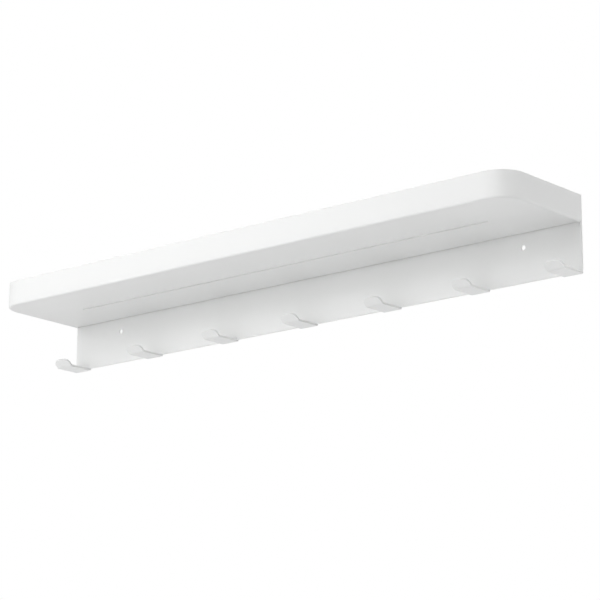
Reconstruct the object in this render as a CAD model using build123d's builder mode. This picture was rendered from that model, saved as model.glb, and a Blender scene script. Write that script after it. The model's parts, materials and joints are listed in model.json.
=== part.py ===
from build123d import *
import os
from math import cos, radians, sin, tan

# Wall shelf with a coat rail, folded and welded from powder-coated sheet steel.
#
# A wall plate stands flat against the wall.  Its lower edge carries a row of
# hooks, each a tab of the same sheet, folded forward and turned up at its tip.
# A hook is a piece of its own from the inside corner of its fold outwards.
# A shallow tray stands forward from the plate above the hooks: a flat floor
# with a long slot, folded up at its rear edge into a flange that lies against
# the plate, and a rim strip that is rolled round the two front corners.
#
# Frame, in millimetres: X runs along the shelf, Y runs into the wall, Z is up.
# The origin is on the wall face, halfway between the two screw holes.

os.makedirs("parts", exist_ok=True)

# ------------------------------------------------------------ driving sizes
length = 800.0             # along the wall, over the plate and the tray
shelf_depth = 146.0        # wall face to the front of the rim
rim_height = 32.5          # underside of the tray to the top of its rim
plate_drop = 58.0          # underside of the tray to the plate's lower edge

plate_thickness = 2.5      # the wall plate, and the hooks that are folded from it
floor_thickness = 3.0
floor_fold_radius = 1.5    # inside of the fold at the floor's rear edge
floor_flange = 16.0        # underside of the tray to the top of the rear flange
rim_thickness = 3.0
corner_radius = 32.0       # outside of the rim, in plan

screw_from_end = 80.0      # end of the plate to the centre of its screw hole
screw_hole_diameter = 6.0
screw_line_drop = 16.0     # underside of the tray to the screw holes' centres

slot_from_end = 80.0       # end of the tray to the end of the slot
slot_width = 4.0
slot_from_plate = 69.5     # front of the wall plate to the slot's centre line

hook_count = 7
hook_width = 25.0
hook_arm = 36.5            # wall face to the corner where the underside turns up
hook_turn = 42.5           # degrees that the tip is turned up from level
hook_tip_length = 12.0     # underside of the tip, from the corner to its end
hook_turn_radius = 2.5     # inside of the turn
hook_tip_radius = 7.5      # rounding of the tip's two corners

plug_count = 6
plug_length = 24.0
plug_height = 5.0          # less than the flange's flat, which backs the plug
plug_from_end = 70.0       # end of the plate to the centre of the first plug

rim_weld_land = 0.3        # flat left between the bead's round and the floor
end_weld_leg = 1.2         # the bevel at each end of the rim

# ------------------------------------------------------------ derived places
tray_bottom = screw_line_drop
floor_top = tray_bottom + floor_thickness
rim_top = tray_bottom + rim_height
plate_front = -plate_thickness
plate_bottom = tray_bottom - plate_drop
plate_middle = (rim_top + plate_bottom) / 2
floor_fold_outside = floor_fold_radius + floor_thickness
plug_level = tray_bottom + (floor_fold_outside + floor_flange) / 2
plug_pitch = (length - 2 * plug_from_end) / (plug_count - 1)
plug_centres = [(-length / 2 + plug_from_end + i * plug_pitch, plug_level) for i in range(plug_count)]
screw_spacing = length - 2 * screw_from_end
slot_length = length - 2 * slot_from_end
rim_weld_radius = min(floor_thickness, rim_thickness) - rim_weld_land
hook_pitch = (length - hook_width) / (hook_count - 1)
hook_left_sides = [-length / 2 + i * hook_pitch for i in range(hook_count)]
hook_underside = plate_bottom - plate_thickness


def tray_plan(inset: float) -> Sketch:
    """Plan of the tray, taken in from its outside by the inset on three sides.

    The fourth side lies on the front of the wall plate, which the tray meets.
    """
    front = inset - shelf_depth
    with BuildSketch() as plan:
        with Locations((0, (front + plate_front) / 2)):
            Rectangle(length - 2 * inset, plate_front - front)
        front_corners = plan.vertices().group_by(Axis.Y)[0]
        fillet(front_corners, radius=corner_radius - inset)
    return plan.sketch


def fold_side() -> Sketch:
    """Side view of the fold from which a hook starts, with Y into the wall and Z up.

    The sheet turns forward about its own inside corner, so its outside is a
    quarter round, from the wall face to the hook's underside.
    """
    with BuildSketch() as side:
        with BuildLine():
            outside = JernArc((0, plate_bottom), (0, -1), plate_thickness, -90)
            Polyline(outside @ 1, (plate_front, plate_bottom), outside @ 0)
        make_face()
    return side.sketch


def floor_side() -> Sketch:
    """Side view of the floor and its rear flange, with Y into the wall and Z up."""
    front = rim_thickness - shelf_depth
    flange_front = plate_front - floor_thickness
    with BuildSketch() as side:
        with BuildLine():
            Polyline(
                (front, tray_bottom),
                (plate_front, tray_bottom),
                (plate_front, tray_bottom + floor_flange),
                (flange_front, tray_bottom + floor_flange),
                (flange_front, floor_top),
                (front, floor_top),
                close=True,
            )
        make_face()
        outer_corner = side.vertices().group_by(Axis.Y)[0].sort_by(Axis.X)[-1]
        fillet(outer_corner, radius=floor_fold_outside)
        inner_corner = side.vertices().sort_by_distance((flange_front, floor_top))[0]
        fillet(inner_corner, radius=floor_fold_radius)
    return side.sketch


# ------------------------------------------------------------ wall plate
# The folds at the roots of the hooks are part of it.
with BuildPart() as wall_plate:
    with BuildSketch(Plane.XZ):
        with Locations((0, plate_middle)):
            Rectangle(length, rim_top - plate_bottom)
        with GridLocations(screw_spacing, 0, 2, 1):
            Circle(screw_hole_diameter / 2, mode=Mode.SUBTRACT)
        with Locations(*plug_centres):
            SlotOverall(plug_length, plug_height, mode=Mode.SUBTRACT)
    extrude(amount=plate_thickness)
    for left_side in hook_left_sides:
        with BuildSketch(Plane.YZ.offset(left_side)):
            add(fold_side())
        extrude(amount=hook_width)
wall_plate.part.label = "wall_plate"
export_step(wall_plate.part, "parts/wall_plate.step")

# ------------------------------------------------------------ plug welds
# Each fills a slot of the wall plate, from behind, and holds the floor's flange
# that stands against the slot.
with BuildPart() as plug_welds:
    with BuildSketch(Plane.XZ):
        with Locations(*plug_centres):
            SlotOverall(plug_length, plug_height)
    extrude(amount=plate_thickness)
plug_welds.part.label = "plug_welds"
export_step(plug_welds.part, "parts/plug_welds.step")

# ------------------------------------------------------------ shelf floor
# The folded sheet runs the whole depth, and the tray's plan trims its front
# corners.
with BuildPart() as shelf_floor:
    with BuildSketch(Plane.YZ.offset(rim_thickness - length / 2)):
        add(floor_side())
    extrude(amount=length - 2 * rim_thickness)
    with BuildSketch(Plane.XY.offset(tray_bottom)):
        add(tray_plan(rim_thickness))
    extrude(amount=floor_flange, mode=Mode.INTERSECT)
    with BuildSketch(Plane.XY.offset(tray_bottom)):
        with Locations((0, plate_front - slot_from_plate)):
            SlotOverall(slot_length, slot_width)
    extrude(amount=floor_thickness, mode=Mode.SUBTRACT)
shelf_floor.part.label = "shelf_floor"
export_step(shelf_floor.part, "parts/shelf_floor.step")

# ------------------------------------------------------------ rim weld
# The bead fills the open corner between the floor's edge and the rim strip
# above it, and is ground to a round lower edge all the way round the tray.
with BuildPart() as rim_weld:
    with BuildSketch(Plane.XY.offset(tray_bottom)):
        add(tray_plan(0))
    extrude(amount=floor_thickness)
    underside = rim_weld.faces().sort_by(Axis.Z)[0]
    ground_edges = underside.edges().sort_by(Axis.Y)[:-1]
    fillet(ground_edges, radius=rim_weld_radius)
    with BuildSketch(Plane.XY.offset(tray_bottom)):
        add(tray_plan(rim_thickness))
    extrude(amount=floor_thickness, mode=Mode.SUBTRACT)
rim_weld.part.label = "rim_weld"
export_step(rim_weld.part, "parts/rim_weld.step")

# ------------------------------------------------------------ rim strip
# It stands on the bead, and its two ends meet the wall plate, bevelled outside
# for the end welds.
with BuildPart() as rim_band:
    with BuildSketch(Plane.XY.offset(floor_top)):
        add(tray_plan(0))
        add(tray_plan(rim_thickness), mode=Mode.SUBTRACT)
    extrude(amount=rim_top - floor_top)
    rear_ends = rim_band.faces().filter_by(Plane.XZ).group_by(Axis.Y)[-1]
    end_edges = rear_ends.edges().filter_by(Axis.Z).group_by(Axis.X)
    chamfer([end_edges[0][0], end_edges[-1][0]], length=end_weld_leg)
rim_band.part.label = "rim_band"
export_step(rim_band.part, "parts/rim_band.step")

# ------------------------------------------------------------ rim end welds
# Each fills the bevel of one rim end, flush with the side of the tray.
with BuildPart() as rim_end_welds:
    with BuildSketch(Plane.XY.offset(floor_top)):
        with BuildLine():
            Polyline(
                (length / 2, plate_front),
                (length / 2, plate_front - end_weld_leg),
                (length / 2 - end_weld_leg, plate_front),
                close=True,
            )
        make_face()
        mirror(about=Plane.YZ)
    extrude(amount=rim_top - floor_top)
rim_end_welds.part.label = "rim_end_welds"
export_step(rim_end_welds.part, "parts/rim_end_welds.step")

# ------------------------------------------------------------ hooks
turn_outside = hook_turn_radius + plate_thickness
turn_setback = turn_outside * tan(radians(hook_turn / 2))
tip_straight = hook_tip_length - turn_setback
tip_direction = Vector(0, -cos(radians(hook_turn)), sin(radians(hook_turn)))


def hook_side() -> Sketch:
    """Side view of a hook, with Y into the wall and Z up.

    The arm runs out level from the fold, and the tip is turned up.
    """
    with BuildSketch() as side:
        with BuildLine():
            arm = Line((plate_front, hook_underside), (turn_setback - hook_arm, hook_underside))
            turn = JernArc(arm @ 1, arm % 1, turn_outside, -hook_turn)
            tip = Line(turn @ 1, turn @ 1 + (turn % 1) * tip_straight)
            tip_end = Line(tip @ 1, tip @ 1 + (tip % 1).rotate(Axis.Z, -90) * plate_thickness)
            tip_top = Line(tip_end @ 1, tip_end @ 1 - (tip % 1) * tip_straight)
            turn_top = JernArc(tip_top @ 1, tip_top % 1, hook_turn_radius, hook_turn)
            Polyline(turn_top @ 1, (plate_front, plate_bottom), arm @ 0)
        make_face()
    return side.sketch


for number, left_side in enumerate(hook_left_sides, start=1):
    with BuildPart() as hook:
        with BuildSketch(Plane.YZ.offset(left_side)):
            add(hook_side())
        extrude(amount=hook_width)
        tip_face = hook.faces().sort_by(Axis((0, 0, 0), tip_direction))[-1]
        tip_corners = tip_face.edges().filter_by(Axis.X, reverse=True)
        fillet(tip_corners, radius=hook_tip_radius)
    hook.part.label = f"hook_{number}"
    export_step(hook.part, f"parts/hook_{number}.step")
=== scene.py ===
"""Looks of a wall shelf with a coat rail, in white powder-coated sheet steel.

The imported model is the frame, in metres: X along the shelf, Y into the wall, Z up,
with the origin on the wall face between the two screw holes.  Each piece of the
frame gets a finished mesh in the same place, with its free edges softened as the
coat softens them, and the studio holds the camera, the lamps and the floor.
"""

import json
import logging
import math
from dataclasses import dataclass
from enum import Enum
from typing import Callable, Iterable, Sequence

import bmesh
import bpy
from mathutils import Matrix, Vector


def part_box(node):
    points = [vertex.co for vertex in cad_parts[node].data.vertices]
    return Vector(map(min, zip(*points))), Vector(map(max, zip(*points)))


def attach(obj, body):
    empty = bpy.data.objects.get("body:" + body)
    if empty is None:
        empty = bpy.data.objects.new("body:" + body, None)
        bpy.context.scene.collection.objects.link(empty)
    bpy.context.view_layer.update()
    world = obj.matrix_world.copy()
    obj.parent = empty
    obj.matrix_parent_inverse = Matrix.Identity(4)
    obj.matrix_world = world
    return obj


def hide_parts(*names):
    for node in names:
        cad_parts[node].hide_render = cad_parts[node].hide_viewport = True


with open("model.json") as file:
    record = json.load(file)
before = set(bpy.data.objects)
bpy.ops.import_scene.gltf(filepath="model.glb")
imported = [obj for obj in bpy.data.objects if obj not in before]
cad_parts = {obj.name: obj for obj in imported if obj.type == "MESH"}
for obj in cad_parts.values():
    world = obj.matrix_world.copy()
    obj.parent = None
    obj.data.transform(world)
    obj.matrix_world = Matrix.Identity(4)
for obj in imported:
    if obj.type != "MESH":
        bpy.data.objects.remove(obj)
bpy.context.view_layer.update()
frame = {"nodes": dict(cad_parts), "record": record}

LOG = logging.getLogger("wall_shelf")
MM = 0.001
MERGE = 0.002 * MM                   # points nearer than this are one point
NEAR = 0.02 * MM                     # two places nearer than this are the same place
CREASE = math.radians(35)            # a harder angle than this between two faces is an edge
QUARTERS = 4                         # in a full turn
UPRIGHT = Matrix.Rotation(math.pi / 2, 4, "X")   # stands a sheet up: its thickness runs forward
WHITE = (1.0, 1.0, 1.0, 1.0)
WIDTH_SHARE = "width_share"          # a hook's width along its line, as a share of the full one
BEVEL_WEIGHT = "bevel_weight_edge"   # the edge layer that tells the bevel where to work
BODY = "root"

Socket = bpy.types.NodeSocket
Value = Socket | float | int | bool | str | Sequence[float] | None
Point = tuple[float, float]
Where = Callable[[Vector], bool]


# ---------------------------------------------------------------- node trees
class Graph:
    """A node tree under construction, for a shape or for a material."""

    def __init__(self, tree: bpy.types.NodeTree) -> None:
        """Takes the tree that the nodes are added to."""
        self.tree = tree

    def add(
        self, kind: str, feeds: dict[str | int, Value] | None = None, **settings: object
    ) -> bpy.types.Node:
        """Adds a node and feeds its inputs.

        Args:
            kind: Blender's name for the kind of node.
            feeds: For each input, by name or number, a socket to link or a plain value.
            **settings: The node's own properties.

        Returns:
            The new node.
        """
        node = self.tree.nodes.new(kind)
        for name, setting in settings.items():
            setattr(node, name, setting)
        for key, value in (feeds or {}).items():
            if isinstance(value, Socket):
                self.tree.links.new(value, node.inputs[key])
            else:
                node.inputs[key].default_value = value
        return node

    def math(self, operation: str, first: Value, second: Value = 0.0) -> Socket:
        """Adds a sum of one or two values.

        Args:
            operation: Blender's name for the sum.
            first: The first value or socket.
            second: The second value or socket.

        Returns:
            The socket with the result.
        """
        return self.add("ShaderNodeMath", {0: first, 1: second}, operation=operation).outputs[0]

    def half(self, value: Value) -> Socket:
        """Returns the socket of half a value."""
        return self.math("MULTIPLY", value, 0.5)

    def vector(self, x: Value = 0.0, y: Value = 0.0, z: Value = 0.0) -> Socket:
        """Returns the socket of a vector put together from three values."""
        return self.add("ShaderNodeCombineXYZ", {"X": x, "Y": y, "Z": z}).outputs[0]


class Shape(Graph):
    """A geometry tree with named sizes, which ends in Realize Instances and Set Material."""

    def __init__(self, name: str, sizes: Iterable[str] = (), counts: Iterable[str] = ()) -> None:
        """Makes the tree and its inputs.

        Args:
            name: Name of the tree.
            sizes: Names of its lengths, in metres, and of its angles, in radians.
            counts: Names of its whole numbers.
        """
        super().__init__(bpy.data.node_groups.new(name, "GeometryNodeTree"))
        face = self.tree.interface
        face.new_socket("Geometry", in_out="INPUT", socket_type="NodeSocketGeometry")
        for size in sizes:
            face.new_socket(size, in_out="INPUT", socket_type="NodeSocketFloat")
        for count in counts:
            face.new_socket(count, in_out="INPUT", socket_type="NodeSocketInt")
        face.new_socket("Material", in_out="INPUT", socket_type="NodeSocketMaterial")
        face.new_socket("Geometry", in_out="OUTPUT", socket_type="NodeSocketGeometry")
        self.given = self.add("NodeGroupInput").outputs

    def finish(self, geometry: Socket) -> "Shape":
        """Ends the tree.

        Args:
            geometry: Socket with the finished shape.

        Returns:
            The tree itself.
        """
        merged = self.add("GeometryNodeMergeByDistance", {"Geometry": geometry, "Distance": MERGE})
        real = self.add("GeometryNodeRealizeInstances", {"Geometry": merged.outputs[0]})
        dressed = self.add(
            "GeometryNodeSetMaterial", {"Geometry": real.outputs[0], "Material": self.given["Material"]}
        )
        self.add("NodeGroupOutput", {"Geometry": dressed.outputs[0]})
        return self

    def join(self, *parts: Socket) -> Socket:
        """Returns the socket of several geometries joined into one."""
        joined = self.add("GeometryNodeJoinGeometry")
        for part in parts:
            self.tree.links.new(part, joined.inputs[0])
        return joined.outputs[0]

    def thicken(self, sheet: Socket, thickness: Value) -> Socket:
        """Gives an open sheet a second side and its edges.

        Args:
            sheet: Socket with the sheet.
            thickness: Distance to the second side, along the sheet's normals.

        Returns:
            The socket with the closed shell.
        """
        second = self.add(
            "GeometryNodeExtrudeMesh", {"Mesh": sheet, "Offset Scale": thickness, "Individual": False}
        )
        first = self.add("GeometryNodeFlipFaces", {"Mesh": sheet})
        return self.join(first.outputs[0], second.outputs["Mesh"])

    def by_number(self, kind: str, *choices: Value) -> Socket:
        """Chooses by a point's own number.

        Args:
            kind: Blender's name for the kind of value.
            *choices: The value for each number, from 0 up.

        Returns:
            The socket with the chosen value.
        """
        switch = self.add("GeometryNodeIndexSwitch", data_type=kind)
        while len(switch.index_switch_items) < len(choices):
            switch.index_switch_items.new()
        self.tree.links.new(self.add("GeometryNodeInputIndex").outputs[0], switch.inputs["Index"])
        for place, choice in enumerate(choices, start=1):
            if isinstance(choice, Socket):
                self.tree.links.new(choice, switch.inputs[place])
            else:
                switch.inputs[place].default_value = choice
        return switch.outputs[0]

    def stadium(self, length: Value, width: Value, steps: Value) -> Socket:
        """Makes a closed curve with two straight sides and round ends.

        Args:
            length: Overall length, along X.
            width: Width, along Y.
            steps: Points in each quarter of an end.

        Returns:
            The socket with the curve.
        """
        box = self.add(
            "GeometryNodeCurvePrimitiveQuadrilateral", {"Width": length, "Height": width}, mode="RECTANGLE"
        )
        return self.add(
            "GeometryNodeFilletCurve",
            {"Curve": box.outputs[0], "Count": steps, "Radius": self.half(width), "Limit Radius": True},
            mode="POLY",
        ).outputs[0]

    def row(self, thing: Socket, count: Value, pitch: Value, level: Value = 0.0) -> Socket:
        """Repeats a thing along X, centred on X = 0.

        Args:
            thing: Socket with what is repeated.
            count: How many there are.
            pitch: Distance between neighbours.
            level: Their place along Y.

        Returns:
            The socket with the instances, made real.
        """
        gaps = self.math("SUBTRACT", count, 1)
        reach = self.half(self.math("MULTIPLY", gaps, pitch))
        start = self.math("MULTIPLY", reach, -1)
        line = self.add(
            "GeometryNodeMeshLine",
            {"Count": count, "Start Location": self.vector(start, level), "Offset": self.vector(pitch)},
            mode="OFFSET",
        )
        placed = self.add("GeometryNodeInstanceOnPoints", {"Points": line.outputs[0], "Instance": thing})
        return self.add("GeometryNodeRealizeInstances", {"Geometry": placed.outputs[0]}).outputs[0]


def perforated_sheet() -> Shape:
    """Makes the tree of a flat sheet with a row of round holes and a row of slots.

    Its input is the outline, and its thickness runs up.

    Returns:
        The tree.
    """
    shape = Shape(
        "perforated_sheet",
        (
            "Thickness",
            "Hole Diameter",
            "Hole Spacing",
            "Slot Length",
            "Slot Width",
            "Slot Pitch",
            "Slot Level",
        ),
        ("Hole Count", "Slot Count", "Round Steps"),
    )
    given = shape.given
    outline = shape.add("GeometryNodeMeshToCurve", {"Mesh": given["Geometry"]}).outputs[0]
    around = shape.math("MULTIPLY", given["Round Steps"], QUARTERS)
    hole = shape.add(
        "GeometryNodeCurvePrimitiveCircle",
        {"Resolution": around, "Radius": shape.half(given["Hole Diameter"])},
    ).outputs[0]
    holes = shape.row(hole, given["Hole Count"], given["Hole Spacing"])
    slot = shape.stadium(given["Slot Length"], given["Slot Width"], given["Round Steps"])
    slots = shape.row(slot, given["Slot Count"], given["Slot Pitch"], given["Slot Level"])
    filled = shape.add("GeometryNodeFillCurve", {"Curve": shape.join(outline, holes, slots)}, mode="NGONS")
    clean = shape.add("GeometryNodeMergeByDistance", {"Geometry": filled.outputs[0], "Distance": MERGE})
    return shape.finish(shape.thicken(clean.outputs[0], given["Thickness"]))


def swept_strip() -> Shape:
    """Makes the tree of a strip that stands on a path, with the path along its outer foot.

    The path turns left round what the strip encloses.

    Returns:
        The tree.
    """
    shape = Shape("swept_strip", ("Thickness", "Height", "Top Round", "Foot Round"), ("Round Steps",))
    given = shape.given
    box = shape.add(
        "GeometryNodeCurvePrimitiveQuadrilateral",
        {"Width": given["Thickness"], "Height": given["Height"]},
        mode="RECTANGLE",
    )
    # The corners are numbered outer foot, inner foot, inner top, outer top.
    rounds = shape.by_number("FLOAT", given["Foot Round"], 0.0, given["Top Round"], given["Top Round"])
    section = shape.add(
        "GeometryNodeFilletCurve",
        {"Curve": box.outputs[0], "Count": given["Round Steps"], "Radius": rounds},
        mode="POLY",
    )
    inwards = shape.math("MULTIPLY", shape.half(given["Thickness"]), -1)
    upwards = shape.math("MULTIPLY", shape.half(given["Height"]), -1)
    middle = shape.vector(inwards, upwards)
    beside = shape.add("GeometryNodeTransform", {"Geometry": section.outputs[0], "Translation": middle})
    path = shape.add("GeometryNodeMeshToCurve", {"Mesh": given["Geometry"]})
    level = shape.add("GeometryNodeSetCurveNormal", {"Curve": path.outputs[0]}, mode="Z_UP")
    swept = shape.add(
        "GeometryNodeCurveToMesh",
        {"Curve": level.outputs[0], "Profile Curve": beside.outputs[0], "Fill Caps": True},
    )
    return shape.finish(swept.outputs[0])


def folded_tab() -> Shape:
    """Makes the tree of a flat tab that leaves a sheet level and is turned up at its tip.

    The tab starts at Y = 0 with its underside at Z = 0, and runs towards -Y.

    Returns:
        The tree.
    """
    shape = Shape(
        "folded_tab",
        ("Thickness", "Width", "Arm", "Turn", "Turn Radius", "Tip Length", "Tip Round"),
        ("Turn Steps", "Tip Steps"),
    )
    given = shape.given
    number = shape.add("GeometryNodeInputIndex").outputs[0]
    # Points 0 and 1 are the root and the corner; the rest close in on the tip's end.
    at_corner = 1
    step = shape.math("SUBTRACT", number, at_corner + 1)
    share = shape.math("MAXIMUM", shape.math("DIVIDE", step, given["Tip Steps"]), 0.0)
    swing = shape.math("MULTIPLY", share, math.pi / 2)
    on_round = shape.math("MULTIPLY", given["Tip Round"], shape.math("SINE", swing))
    straight = shape.math("SUBTRACT", given["Tip Length"], given["Tip Round"])
    along = shape.math("ADD", straight, on_round)
    out = shape.math("MULTIPLY", along, shape.math("COSINE", given["Turn"]))
    up = shape.math("MULTIPLY", along, shape.math("SINE", given["Turn"]))
    corner = shape.math("MULTIPLY", given["Arm"], -1)
    tip = shape.vector(0.0, shape.math("SUBTRACT", corner, out), up)
    arm = shape.vector(0.0, shape.math("MULTIPLY", corner, shape.math("MINIMUM", number, at_corner)))
    is_tip = shape.math("GREATER_THAN", number, at_corner)
    is_corner = shape.math("COMPARE", number, at_corner)
    place = shape.add(
        "GeometryNodeSwitch",
        {"Switch": is_tip, "False": arm, "True": tip},
        input_type="VECTOR",
    )
    count = shape.math("ADD", given["Tip Steps"], at_corner + 2)
    points = shape.add("GeometryNodeMeshLine", {"Count": count}, mode="OFFSET")
    set_out = shape.add(
        "GeometryNodeSetPosition", {"Geometry": points.outputs[0], "Position": place.outputs[0]}
    )
    line = shape.add("GeometryNodeMeshToCurve", {"Mesh": set_out.outputs[0]})
    # The tab's half width falls from its full value along the two round corners of the tip.
    half = shape.half(given["Width"])
    fall = shape.math("SUBTRACT", 1.0, shape.math("COSINE", swing))
    lost = shape.math("MULTIPLY", given["Tip Round"], fall)
    narrow = shape.math("SUBTRACT", 1.0, shape.math("DIVIDE", lost, half))
    widths = shape.add(
        "GeometryNodeStoreNamedAttribute",
        {"Geometry": line.outputs[0], "Name": WIDTH_SHARE, "Value": narrow},
        data_type="FLOAT",
        domain="POINT",
    )
    outside = shape.math("ADD", given["Turn Radius"], given["Thickness"])
    turned = shape.add(
        "GeometryNodeFilletCurve",
        {
            "Curve": widths.outputs[0],
            "Count": given["Turn Steps"],
            "Radius": shape.math("MULTIPLY", outside, is_corner),
        },
        mode="POLY",
    )
    level = shape.add("GeometryNodeSetCurveNormal", {"Curve": turned.outputs[0]}, mode="Z_UP")
    across = shape.add(
        "GeometryNodeCurvePrimitiveLine",
        {"Start": shape.vector(shape.math("MULTIPLY", half, -1)), "End": shape.vector(half)},
        mode="POINTS",
    )
    share_there = shape.add("GeometryNodeInputNamedAttribute", {"Name": WIDTH_SHARE}, data_type="FLOAT")
    strip = shape.add(
        "GeometryNodeCurveToMesh",
        {"Curve": level.outputs[0], "Profile Curve": across.outputs[0], "Scale": share_there.outputs[0]},
    )
    clean = shape.add("GeometryNodeMergeByDistance", {"Geometry": strip.outputs[0], "Distance": MERGE})
    return shape.finish(shape.thicken(clean.outputs[0], given["Thickness"]))


def bead_plugs() -> Shape:
    """Makes the tree of a row of flat plugs of weld, whose thickness runs up.

    Returns:
        The tree.
    """
    shape = Shape(
        "bead_plugs", ("Thickness", "Length", "Width", "Pitch", "Level"), ("Count", "Round Steps")
    )
    given = shape.given
    outline = shape.stadium(given["Length"], given["Width"], given["Round Steps"])
    flat = shape.add("GeometryNodeFillCurve", {"Curve": outline}, mode="NGONS")
    clean = shape.add("GeometryNodeMergeByDistance", {"Geometry": flat.outputs[0], "Distance": MERGE})
    plug = shape.thicken(clean.outputs[0], given["Thickness"])
    return shape.finish(shape.row(plug, given["Count"], given["Pitch"], given["Level"]))


# ---------------------------------------------------------------- finishes
class Ground(Enum):
    """What lies under the coat."""

    ROLLED_SHEET = "rolled_sheet"
    GROUND_WELD = "ground_weld"


@dataclass(frozen=True)
class PowderCoat:
    """A matt white powder coat, with the faint orange peel and grain that it cures to."""

    ground: Ground = Ground.ROLLED_SHEET
    colour: tuple[float, float, float] = (0.84, 0.845, 0.84)
    shade: tuple[float, float, float] = (0.828, 0.833, 0.829)
    patch_scale: float = 14.0         # patches of thicker and thinner coat, per metre
    roughness: tuple[float, float] = (0.46, 0.54)
    peel_scale: float = 420.0         # waves of the orange peel, per metre
    peel_depth: float = 0.006 * MM
    grain_scale: float = 2300.0       # grains of the powder, per metre
    grain_depth: float = 0.0025 * MM
    wave_scale: float = 120.0         # grinding marks under the coat, per metre
    wave_depth: float = 0.03 * MM
    smooth: float = 1.0               # finer waves in the peel and the grinding marks
    mottled: float = 2.0              # finer waves in the patches and the grain

    def pattern(self, graph: Graph, place: Socket, scale: float, detail: float) -> Socket:
        """Returns the socket of a cloudy pattern, with so many waves per metre."""
        noise = graph.add("ShaderNodeTexNoise", {"Vector": place, "Scale": scale, "Detail": detail})
        return noise.outputs[0]

    def material(self) -> bpy.types.Material:
        """Makes the material.

        Returns:
            The material, whose patterns lie on the frame's own coordinates.
        """
        made = bpy.data.materials.new(f"powder_coat_on_{self.ground.value}")
        made.use_nodes = True
        graph = Graph(made.node_tree)
        shader = made.node_tree.nodes["Principled BSDF"]
        place = graph.add("ShaderNodeTexCoord").outputs["Object"]
        patches = self.pattern(graph, place, self.patch_scale, self.mottled)
        tone = graph.add(
            "ShaderNodeMix",
            {0: patches, 6: (*self.shade, 1.0), 7: (*self.colour, 1.0)},
            data_type="RGBA",
        )
        peel = self.pattern(graph, place, self.peel_scale, self.smooth)
        grain = self.pattern(graph, place, self.grain_scale, self.mottled)
        gloss = graph.add(
            "ShaderNodeMapRange",
            {"Value": peel, "To Min": self.roughness[0], "To Max": self.roughness[1]},
        )
        coat = graph.add("ShaderNodeBump", {"Height": peel, "Distance": self.peel_depth})
        coat = graph.add(
            "ShaderNodeBump",
            {"Height": grain, "Distance": self.grain_depth, "Normal": coat.outputs[0]},
        )
        if self.ground is Ground.GROUND_WELD:
            waves = self.pattern(graph, place, self.wave_scale, self.smooth)
            coat = graph.add(
                "ShaderNodeBump",
                {"Height": waves, "Distance": self.wave_depth, "Normal": coat.outputs[0]},
            )
        links = made.node_tree.links
        links.new(tone.outputs[2], shader.inputs["Base Color"])
        links.new(gloss.outputs[0], shader.inputs["Roughness"])
        links.new(coat.outputs[0], shader.inputs["Normal"])
        return made


# ---------------------------------------------------------------- meshes
def everywhere(place: Vector) -> bool:
    """Returns True: each edge stays as its tree makes it."""
    return True


def outline_mesh(name: str, points: Sequence[Point], closed: bool) -> bpy.types.Mesh:
    """Makes a line of edges in the XY plane.

    Args:
        name: Name of the mesh.
        points: The points in order.
        closed: Whether the last point joins the first.

    Returns:
        The mesh.
    """
    mesh = bpy.data.meshes.new(name)
    edges = [(i, i + 1) for i in range(len(points) - 1)]
    if closed:
        edges.append((len(points) - 1, 0))
    mesh.from_pydata([(x, y, 0.0) for x, y in points], edges, [])
    return mesh


def evaluated_mesh(piece: bpy.types.Object) -> bpy.types.Mesh:
    """Returns a plain mesh of an object as its modifiers leave it."""
    graph = bpy.context.evaluated_depsgraph_get()
    return bpy.data.meshes.new_from_object(
        piece.evaluated_get(graph), preserve_all_data_layers=True, depsgraph=graph
    )


def grow(
    shape: Shape,
    finish: bpy.types.Material,
    sizes: dict[str, float | int],
    start: bpy.types.Mesh | None = None,
) -> bpy.types.Mesh:
    """Runs a geometry tree.

    Args:
        shape: The tree.
        finish: The material that it gives to what it makes.
        sizes: Its other inputs, by name.
        start: What the tree starts from, if anything.

    Returns:
        The mesh that the tree makes.
    """
    name = shape.tree.name
    holder = bpy.data.objects.new(name, start or bpy.data.meshes.new(name))
    bpy.context.scene.collection.objects.link(holder)
    grower = holder.modifiers.new(name, "NODES")
    grower.node_group = shape.tree
    feeds = {**sizes, "Material": finish}
    for item in shape.tree.interface.items_tree:
        if item.name in feeds:
            grower[item.identifier] = feeds[item.name]
    mesh = evaluated_mesh(holder)
    bpy.data.objects.remove(holder)
    return mesh


def box_of(mesh: bpy.types.Mesh) -> tuple[list[float], list[float]]:
    """Measures the box round a mesh.

    Args:
        mesh: The mesh.

    Returns:
        The box's low and high corners.
    """
    places = [vertex.co for vertex in mesh.vertices]
    low = [min(place[i] for place in places) for i in range(3)]
    high = [max(place[i] for place in places) for i in range(3)]
    return low, high


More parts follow.
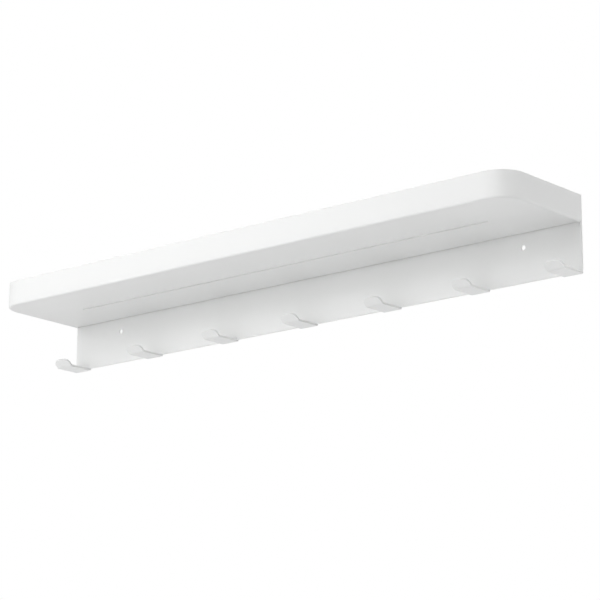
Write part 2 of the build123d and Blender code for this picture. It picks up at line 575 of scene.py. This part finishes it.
@dataclass(frozen=True)
class Maker:
    """Finishes raw meshes: softens free edges, smooths the shading and hands the piece to the frame."""

    edge_round: float = 0.3 * MM
    steps: int = 3

    def soften(self, mesh: bpy.types.Mesh, flush: Where) -> bpy.types.Mesh:
        """Rounds the edges of a closed shell.

        Args:
            mesh: The shell.
            flush: Tells of an edge's middle whether the edge stays crisp, as where it
                meets a neighbour.

        Returns:
            The softened mesh, which stays inside the shell's own box.
        """
        shell = bmesh.new()
        shell.from_mesh(mesh)
        low, high = box_of(mesh)
        bmesh.ops.remove_doubles(shell, verts=shell.verts, dist=MERGE)
        bmesh.ops.dissolve_degenerate(shell, edges=shell.edges, dist=MERGE)
        bmesh.ops.recalc_face_normals(shell, faces=shell.faces)
        layers = shell.edges.layers.float
        weight = layers.get(BEVEL_WEIGHT) or layers.new(BEVEL_WEIGHT)
        for face in shell.faces:
            face.smooth = True
        for edge in shell.edges:
            hard = len(edge.link_faces) == 2 and edge.calc_face_angle() > CREASE
            middle = (edge.verts[0].co + edge.verts[1].co) / 2
            soft = hard and edge.is_convex and not flush(middle)
            edge[weight] = 1.0 if soft else 0.0
            edge.smooth = soft or not hard
        shell.to_mesh(mesh)
        shell.free()
        holder = bpy.data.objects.new(mesh.name, mesh)
        bpy.context.scene.collection.objects.link(holder)
        rounder = holder.modifiers.new("rounder", "BEVEL")
        rounder.limit_method = "WEIGHT"
        rounder.width = self.edge_round
        rounder.segments = self.steps
        rounder.miter_outer = "MITER_ARC"
        weigher = holder.modifiers.new("weigher", "WEIGHTED_NORMAL")
        weigher.keep_sharp = True
        finished = evaluated_mesh(holder)
        bpy.data.objects.remove(holder)
        for vertex in finished.vertices:
            vertex.co = [min(max(vertex.co[i], low[i]), high[i]) for i in range(3)]
        return finished

    def hand_over(self, name: str, mesh: bpy.types.Mesh, *nodes: str) -> bpy.types.Object:
        """Puts a finished mesh in the place of its nodes.

        Args:
            name: Name of the piece.
            mesh: The finished mesh, in place, with its material.
            *nodes: The nodes of the frame that it stands for.

        Returns:
            The piece.
        """
        mesh.name = name
        piece = bpy.data.objects.new(name, mesh)
        bpy.context.scene.collection.objects.link(piece)
        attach(piece, BODY)
        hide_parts(*nodes)
        low, high = ([round(side / MM, 2) for side in corner] for corner in box_of(mesh))
        LOG.info("%s: %d faces, from %s to %s mm", name, len(mesh.polygons), low, high)
        return piece


# ---------------------------------------------------------------- the shelf
@dataclass
class WallPlate:
    """The sheet against the wall, with its screw holes and the folds at its lower edge."""

    maker: Maker
    shapes: dict[str, Shape]
    finish: bpy.types.Material
    weld_finish: bpy.types.Material
    screw_spacing: float
    hole_diameter: float
    hooks: Sequence[str]
    plug_count: int = 6
    plug_length: float = 24 * MM
    plug_width: float = 5 * MM
    plug_from_end: float = 70 * MM
    floor_fold: float = 4.5 * MM      # outside of the fold under the plugs
    fold_steps: int = 8
    round_steps: int = 10

    def __post_init__(self) -> None:
        """Reads the plate's place from the frame."""
        self.low, self.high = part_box("wall_plate")
        floor_low, floor_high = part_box("shelf_floor")
        self.length = self.high.x - self.low.x
        self.thickness = self.high.y - self.low.y
        self.bottom = self.low.z + self.thickness
        self.tray_bottom = floor_low.z
        self.tray_side = floor_high.x
        self.plug_level = (floor_low.z + self.floor_fold + floor_high.z) / 2
        self.plug_pitch = (self.length - 2 * self.plug_from_end) / (self.plug_count - 1)
        self.spans = [(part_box(hook)[0].x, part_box(hook)[1].x) for hook in self.hooks]

    def outline(self) -> list[Point]:
        """Works out the sheet's outline.

        Returns:
            The points, with one at each side of each hook and of the tray.
        """
        right, left, top = self.high.x, self.low.x, self.high.z
        foot = sorted({left, right, *(x for span in self.spans for x in span)})
        lower = [(x, self.bottom) for x in foot if x - left < NEAR or right - x < NEAR or left < x < right]
        upper = [
            (right, self.tray_bottom),
            (right, top),
            (self.tray_side, top),
            (-self.tray_side, top),
            (left, top),
            (left, self.tray_bottom),
        ]
        return lower + upper

    def fold_out(self, shell: bmesh.types.BMesh, left: float, right: float) -> None:
        """Adds the quarter round by which the sheet turns forward into a hook.

        Args:
            shell: The upright sheet.
            left: The hook's left side.
            right: The hook's right side.
        """
        for face in list(shell.faces):
            middle = face.calc_center_median()
            if left < middle.x < right and abs(middle.z - self.bottom) < NEAR and len(face.verts) == 4:
                shell.faces.remove(face)
        arcs = []
        for x in (left, right):
            arc = []
            for step in range(self.fold_steps + 1):
                turn = math.pi / 2 * step / self.fold_steps
                y = self.thickness * (math.cos(turn) - 1)
                z = self.bottom - self.thickness * math.sin(turn)
                arc.append(shell.verts.new((x, y, z)))
            arcs.append(arc)
        tops = [shell.verts.new((x, -self.thickness, self.bottom)) for x in (left, right)]
        for step in range(self.fold_steps):
            shell.faces.new((arcs[0][step], arcs[0][step + 1], arcs[1][step + 1], arcs[1][step]))
        for arc, top in zip(arcs, tops):
            shell.faces.new((top, *arc))
        shell.faces.new((tops[0], tops[1], arcs[1][-1], arcs[0][-1]))

    def is_flush(self, place: Vector) -> bool:
        """Tells whether the coat runs on over an edge, onto a hook, the tray or a plug of weld.

        Args:
            place: The edge's middle.

        Returns:
            True if the edge stays crisp.
        """
        at_front = abs(place.y + self.thickness) < NEAR
        at_hook = at_front and place.z < self.bottom - NEAR
        at_rim = at_front and place.z > self.tray_bottom and abs(place.x) > self.tray_side - NEAR
        at_plug = abs(place.z - self.plug_level) < self.plug_width and abs(place.x) < self.tray_side
        return at_hook or at_rim or at_plug

    def build(self) -> None:
        """Builds the plate and its plugs of weld."""
        start = outline_mesh("plate_outline", self.outline(), closed=True)
        sheet = grow(
            self.shapes["perforated_sheet"],
            self.finish,
            {
                "Thickness": self.thickness,
                "Hole Diameter": self.hole_diameter,
                "Hole Spacing": self.screw_spacing,
                "Hole Count": 2,
                "Slot Length": self.plug_length,
                "Slot Width": self.plug_width,
                "Slot Pitch": self.plug_pitch,
                "Slot Level": self.plug_level,
                "Slot Count": self.plug_count,
                "Round Steps": self.round_steps,
            },
            start,
        )
        sheet.transform(UPRIGHT)
        shell = bmesh.new()
        shell.from_mesh(sheet)
        for left, right in self.spans:
            self.fold_out(shell, left, right)
        shell.to_mesh(sheet)
        shell.free()
        self.maker.hand_over("plate_sheet", self.maker.soften(sheet, self.is_flush), "wall_plate")
        plugs = grow(
            self.shapes["bead_plugs"],
            self.weld_finish,
            {
                "Thickness": self.thickness,
                "Length": self.plug_length,
                "Width": self.plug_width,
                "Pitch": self.plug_pitch,
                "Level": self.plug_level,
                "Count": self.plug_count,
                "Round Steps": self.round_steps,
            },
        )
        plugs.transform(UPRIGHT)
        self.maker.hand_over("plug_beads", self.maker.soften(plugs, everywhere), "plug_welds")


@dataclass
class Tray:
    """The shelf itself: a floor with a long slot, the rim strip round it and their welds."""

    maker: Maker
    shapes: dict[str, Shape]
    finish: bpy.types.Material
    weld_finish: bpy.types.Material
    corner_radius: float = 32 * MM
    corner_steps: int = 32
    slot_width: float = 4 * MM
    slot_from_end: float = 80 * MM
    slot_from_plate: float = 69.5 * MM
    floor_fold_radius: float = 1.5 * MM  # inside of the fold at the floor's rear edge
    fold_steps: int = 10
    foot_land: float = 0.3 * MM      # flat left between the bead's round and the floor
    end_leg: float = 1.2 * MM
    top_round: float = 0.35 * MM
    top_steps: int = 4
    foot_steps: int = 8
    slot_steps: int = 6

    def __post_init__(self) -> None:
        """Reads the tray's place from the frame."""
        self.low, self.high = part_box("rim_band")
        self.floor_low, self.floor_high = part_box("shelf_floor")
        self.rim_thickness = self.high.x - self.floor_high.x
        self.floor_thickness = self.low.z - self.floor_low.z
        self.rear = self.high.y

    def plan(self, inset: float) -> list[Point]:
        """Works out the tray's plan, from its left rear end round to its right rear end.

        Args:
            inset: Distance inside the rim's outer face.

        Returns:
            The points, with round front corners.
        """
        radius = self.corner_radius - inset
        side = self.high.x - self.corner_radius
        front = self.low.y + self.corner_radius
        points = [(-self.high.x + inset, self.rear)]
        for middle, first in ((-side, math.pi), (side, 1.5 * math.pi)):
            for step in range(self.corner_steps + 1):
                turn = first + math.pi / 2 * step / self.corner_steps
                points.append((middle + radius * math.cos(turn), front + radius * math.sin(turn)))
        points.append((self.high.x - inset, self.rear))
        return points

    def fold_up(self, sheet: bpy.types.Mesh) -> None:
        """Folds the floor's rear edge up into the flange that lies against the plate.

        Args:
            sheet: The flat floor, in place.
        """
        shell = bmesh.new()
        shell.from_mesh(sheet)
        bmesh.ops.remove_doubles(shell, verts=shell.verts, dist=MERGE)
        outside = self.floor_fold_radius + self.floor_thickness
        axis = Vector((0.0, self.rear - outside, self.floor_low.z + outside))
        rear = max(shell.faces, key=lambda face: face.calc_center_median().y)
        turn = Matrix.Rotation(math.pi / 2 / self.fold_steps, 3, "X")
        ring = [rear]
        for _ in range(self.fold_steps):
            ring = self.pull(shell, ring)
            bmesh.ops.rotate(shell, cent=axis, matrix=turn, verts=ring[0].verts)
        ring = self.pull(shell, ring)
        rise = self.floor_high.z - ring[0].calc_center_median().z
        bmesh.ops.translate(shell, vec=(0.0, 0.0, rise), verts=ring[0].verts)
        shell.to_mesh(sheet)
        shell.free()

    def pull(self, shell: bmesh.types.BMesh, faces: list[bmesh.types.BMFace]) -> list[bmesh.types.BMFace]:
        """Returns the end face of a shell that is drawn out from one of its faces."""
        return bmesh.ops.extrude_discrete_faces(shell, faces=faces)["faces"]

    def build_floor(self) -> None:
        """Builds the floor, whose outline is flush with the bead and whose slot is free."""
        fold_start = self.rear - self.floor_fold_radius - self.floor_thickness
        slot_line = self.rear - self.slot_from_plate
        outline = [(x, min(y, fold_start)) for x, y in self.plan(self.rim_thickness)]
        sheet = grow(
            self.shapes["perforated_sheet"],
            self.finish,
            {
                "Thickness": self.floor_thickness,
                "Hole Diameter": self.slot_width,
                "Hole Count": 0,
                "Slot Length": self.high.x - self.low.x - 2 * self.slot_from_end,
                "Slot Width": self.slot_width,
                "Slot Level": slot_line,
                "Slot Count": 1,
                "Round Steps": self.slot_steps,
            },
            outline_mesh("floor_outline", outline, closed=True),
        )
        sheet.transform(Matrix.Translation((0.0, 0.0, self.floor_low.z)))
        self.fold_up(sheet)
        soft = self.maker.soften(sheet, lambda place: abs(place.y - slot_line) > self.slot_width)
        self.maker.hand_over("tray_floor", soft, "shelf_floor")

    def build_rim(self) -> None:
        """Builds the rim strip, whose two ends are bevelled outside for their welds."""
        path = outline_mesh("rim_path", self.plan(0.0), closed=False)
        strip = grow(
            self.shapes["swept_strip"],
            self.finish,
            {
                "Thickness": self.rim_thickness,
                "Height": self.high.z - self.low.z,
                "Top Round": self.top_round,
                "Foot Round": 0.0,
                "Round Steps": self.top_steps,
            },
            path,
        )
        strip.transform(Matrix.Translation((0.0, 0.0, self.low.z)))
        shell = bmesh.new()
        shell.from_mesh(strip)
        bmesh.ops.remove_doubles(shell, verts=shell.verts, dist=MERGE)
        for side in (-1, 1):
            cut = bmesh.ops.bisect_plane(
                shell,
                geom=[*shell.verts, *shell.edges, *shell.faces],
                plane_co=(side * self.high.x, self.rear - self.end_leg, 0.0),
                plane_no=(side, 1, 0),
                clear_outer=True,
            )
            rim_of_cut = [item for item in cut["geom_cut"] if isinstance(item, bmesh.types.BMEdge)]
            bmesh.ops.holes_fill(shell, edges=rim_of_cut, sides=0)
        shell.to_mesh(strip)
        shell.free()
        self.maker.hand_over("rim_strip", self.maker.soften(strip, everywhere), "rim_band")

    def build_beads(self) -> None:
        """Builds the ground bead under the rim and the two welds at the rim's ends."""
        path = outline_mesh("bead_path", self.plan(0.0), closed=False)
        bead = grow(
            self.shapes["swept_strip"],
            self.weld_finish,
            {
                "Thickness": self.rim_thickness,
                "Height": self.floor_thickness,
                "Top Round": 0.0,
                "Foot Round": min(self.rim_thickness, self.floor_thickness) - self.foot_land,
                "Round Steps": self.foot_steps,
            },
            path,
        )
        bead.transform(Matrix.Translation((0.0, 0.0, self.floor_low.z)))
        self.maker.hand_over("corner_bead", self.maker.soften(bead, everywhere), "rim_weld")
        ends = bmesh.new()
        for side in (-1, 1):
            outer = side * self.high.x
            inner = outer - side * self.end_leg
            corners = [(outer, self.rear), (outer, self.rear - self.end_leg), (inner, self.rear)]
            rings = [[ends.verts.new((x, y, z)) for x, y in corners] for z in (self.low.z, self.high.z)]
            ends.faces.new(rings[0])
            ends.faces.new(rings[1])
            for i in range(len(corners)):
                ends.faces.new((rings[0][i], rings[0][i - 1], rings[1][i - 1], rings[1][i]))
        mesh = bpy.data.meshes.new("end_beads")
        ends.to_mesh(mesh)
        ends.free()
        mesh.materials.append(self.weld_finish)
        self.maker.hand_over("end_beads", self.maker.soften(mesh, everywhere), "rim_end_welds")

    def build(self) -> None:
        """Builds the tray's pieces in the order in which they are welded."""
        self.build_floor()
        self.build_rim()
        self.build_beads()


@dataclass
class HookRow:
    """The hooks, one tab of sheet each."""

    maker: Maker
    shapes: dict[str, Shape]
    finish: bpy.types.Material
    hooks: Sequence[str]
    thickness: float
    arm: float = 36.5 * MM           # wall face to the corner where the underside turns up
    turn: float = math.radians(42.5)
    turn_radius: float = 2.5 * MM
    tip_length: float = 12 * MM
    tip_round: float = 7.5 * MM
    turn_steps: int = 12
    tip_steps: int = 8

    def build(self) -> None:
        """Builds each hook between the sides of its node."""
        for number, hook in enumerate(self.hooks, start=1):
            low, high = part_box(hook)
            tab = grow(
                self.shapes["folded_tab"],
                self.finish,
                {
                    "Thickness": self.thickness,
                    "Width": high.x - low.x,
                    "Arm": self.arm + high.y,
                    "Turn": self.turn,
                    "Turn Radius": self.turn_radius,
                    "Tip Length": self.tip_length,
                    "Tip Round": self.tip_round,
                    "Turn Steps": self.turn_steps,
                    "Tip Steps": self.tip_steps,
                },
            )
            tab.transform(Matrix.Translation(((low.x + high.x) / 2, high.y, low.z)))
            root = high.y
            soft = self.maker.soften(tab, lambda place: place.y > root - NEAR)
            self.maker.hand_over(f"hook_tab_{number}", soft, hook)


# ---------------------------------------------------------------- studio
def direction(turn: float, lift: float) -> Vector:
    """Works out a direction away from the shelf.

    Args:
        turn: Angle from straight in front, towards the shelf's right.
        lift: Angle above level.

    Returns:
        The unit vector.
    """
    flat = math.cos(lift)
    return Vector((math.sin(turn) * flat, -math.cos(turn) * flat, math.sin(lift)))


@dataclass(frozen=True)
class Lamp:
    """A square soft lamp, placed round the shelf by its bearing, its height angle and its distance."""

    name: str
    bearing: float                   # degrees from straight in front, towards the shelf's right
    height: float                    # degrees above the shelf
    distance: float                  # metres from the shelf
    side: float                      # metres
    power: float                     # watts

    def towards(self) -> Vector:
        """Returns the direction from the shelf to the lamp."""
        return direction(math.radians(self.bearing), math.radians(self.height))


@dataclass
class Studio:
    """The camera, the lamps, the white surroundings and the floor."""

    camera_place: tuple[float, float, float] = (1.904787, -2.29824, -0.768165)
    azimuth: float = math.radians(39.892)
    elevation: float = math.radians(-14.262)
    focal_pixels: float = 2506.722
    frame_pixels: int = 600
    sensor: float = 36.0             # millimetres
    view_reach: float = 100.0
    floor_level: float = -2.5
    floor_side: float = 24.0
    floor_grey: tuple[float, float, float, float] = (0.8, 0.8, 0.8, 1.0)
    floor_roughness: float = 0.9
    floor_glow: float = 0.55         # strength of the white that the floor adds where it is seen
    lamp_target: tuple[float, float, float] = (0.0, -0.07, 0.0)
    lamps: tuple[Lamp, ...] = (
        Lamp("high_front_lamp", 0.0, 24.0, 3.0, 1.0, 13.6),
        Lamp("level_front_lamp", 0.0, 5.0, 3.0, 1.0, 12.3),
        Lamp("low_front_lamp", 0.0, -20.0, 3.0, 2.0, 14.9),
        Lamp("front_left_lamp", -30.0, 0.0, 3.0, 1.5, 13.5),
        Lamp("near_lamp", -27.8, 18.4, 1.58, 0.6, 5.18),
        Lamp("level_near_lamp", -27.8, 0.0, 1.5, 0.6, 1.54),
        Lamp("low_rear_left_lamp", -112.5, -25.0, 3.0, 2.0, 8.6),
        Lamp("high_rear_left_lamp", -135.0, 35.0, 3.0, 2.0, 46.1),
        Lamp("low_rear_lamp", 180.0, -25.0, 3.0, 2.0, 20.6),
        Lamp("rear_right_lamp", 135.0, -5.0, 3.0, 1.5, 18.8),
        Lamp("low_right_lamp", 90.0, -20.0, 3.0, 1.0, 5.1),
        Lamp("right_lamp", 90.0, 15.0, 3.0, 1.0, 12.5),
        Lamp("high_right_lamp", 90.0, 40.0, 3.0, 1.0, 15.9),
        Lamp("high_front_right_lamp", 30.0, 34.0, 3.0, 1.0, 10.8),
    )
    floor_lamp_level: float = -0.6
    floor_lamp_side: float = 10.0
    floor_lamp_power: float = 137.0

    def aim(self, piece: bpy.types.Object, place: Sequence[float], back: Vector) -> None:
        """Puts a camera or lamp in place, upright.

        Args:
            piece: The camera or lamp.
            place: Where it goes.
            back: Unit vector that points backwards from it.
        """
        right = Vector((0.0, 0.0, 1.0)).cross(back).normalized()
        turn = Matrix((right, back.cross(right), back)).transposed()
        piece.matrix_world = Matrix.Translation(place) @ turn.to_4x4()

    def build_camera(self) -> None:
        """Makes the camera and gives it to the scene."""
        lens = bpy.data.cameras.new("camera")
        lens.sensor_width = self.sensor
        lens.lens = self.sensor * self.focal_pixels / self.frame_pixels
        lens.clip_end = self.view_reach
        camera = bpy.data.objects.new("camera", lens)
        bpy.context.scene.collection.objects.link(camera)
        self.aim(camera, self.camera_place, direction(self.azimuth, self.elevation))
        bpy.context.scene.camera = camera

    def hang(self, name: str, side: float, power: float) -> bpy.types.Object:
        """Makes a square lamp, which lights but isn't seen by the camera.

        Args:
            name: Name of the lamp.
            side: Its side, in metres.
            power: Its power, in watts.

        Returns:
            The lamp, at the origin and facing down.
        """
        light = bpy.data.lights.new(name, "AREA")
        light.shape = "SQUARE"
        light.size = side
        light.energy = power
        holder = bpy.data.objects.new(name, light)
        bpy.context.scene.collection.objects.link(holder)
        holder.visible_camera = False
        return holder

    def build_lamps(self) -> None:
        """Makes the lamps round the shelf, and the broad one under it that faces the floor."""
        for lamp in self.lamps:
            holder = self.hang(lamp.name, lamp.side, lamp.power)
            self.aim(holder, Vector(self.lamp_target) + lamp.distance * lamp.towards(), lamp.towards())
        wash = self.hang("floor_lamp", self.floor_lamp_side, self.floor_lamp_power)
        wash.location = (*self.lamp_target[:2], self.floor_lamp_level)

    def seen(self, graph: Graph) -> Socket:
        """Tells the rays that are seen or mirrored from those that light.

        Args:
            graph: The tree that asks.

        Returns:
            The socket that is 1 on camera, glossy and transmission rays, and 0 on others.
        """
        ray = graph.add("ShaderNodeLightPath").outputs
        seen = graph.math("MAXIMUM", ray["Is Camera Ray"], ray["Is Glossy Ray"])
        return graph.math("MAXIMUM", seen, ray["Is Transmission Ray"])

    def build_world(self) -> None:
        """Makes the white surroundings, which are seen and mirrored but give the shelf no other light."""
        world = bpy.data.worlds.new("surroundings")
        world.use_nodes = True
        bpy.context.scene.world = world
        graph = Graph(world.node_tree)
        white = world.node_tree.nodes["Background"]
        white.inputs["Color"].default_value = WHITE
        world.node_tree.links.new(self.seen(graph), white.inputs["Strength"])

    def build_floor(self) -> None:
        """Makes the pale floor, well below the shelf."""
        half = self.floor_side / 2
        mesh = bpy.data.meshes.new("studio_floor")
        corners = [(-half, -half), (half, -half), (half, half), (-half, half)]
        mesh.from_pydata([(x, y, self.floor_level) for x, y in corners], [], [(0, 1, 2, 3)])
        floor = bpy.data.objects.new("studio_floor", mesh)
        bpy.context.scene.collection.objects.link(floor)
        paint = bpy.data.materials.new("pale_floor")
        paint.use_nodes = True
        shader = paint.node_tree.nodes["Principled BSDF"]
        shader.inputs["Base Color"].default_value = self.floor_grey
        shader.inputs["Roughness"].default_value = self.floor_roughness
        shader.inputs["Emission Color"].default_value = WHITE
        graph = Graph(paint.node_tree)
        glow = graph.math("MULTIPLY", self.seen(graph), self.floor_glow)
        paint.node_tree.links.new(glow, shader.inputs["Emission Strength"])
        mesh.materials.append(paint)

    def build(self) -> None:
        """Builds the studio."""
        self.build_camera()
        self.build_lamps()
        self.build_world()
        self.build_floor()
        bpy.context.scene.view_settings.view_transform = "Standard"


def main() -> None:
    logging.basicConfig(level=logging.INFO, format="%(name)s: %(message)s")
    Studio().build()
    record = frame["record"]
    screws = next(mount for mount in record["mounts"] if mount["name"] == "wall_screws")["dims"]
    hooks = sorted(name for name in frame["nodes"] if name.startswith("hook_"))
    makers = (perforated_sheet, swept_strip, folded_tab, bead_plugs)
    shapes = {shape.tree.name: shape for shape in (make() for make in makers)}
    coat = PowderCoat().material()
    weld_coat = PowderCoat(ground=Ground.GROUND_WELD).material()
    maker = Maker()
    plate = WallPlate(
        maker, shapes, coat, weld_coat, screws["spacing_x_mm"] * MM, 2 * screws["hole_r_mm"] * MM, hooks
    )
    plate.build()
    Tray(maker, shapes, coat, weld_coat).build()
    HookRow(maker, shapes, coat, hooks, plate.thickness).build()


if __name__ == "__main__":
    main()
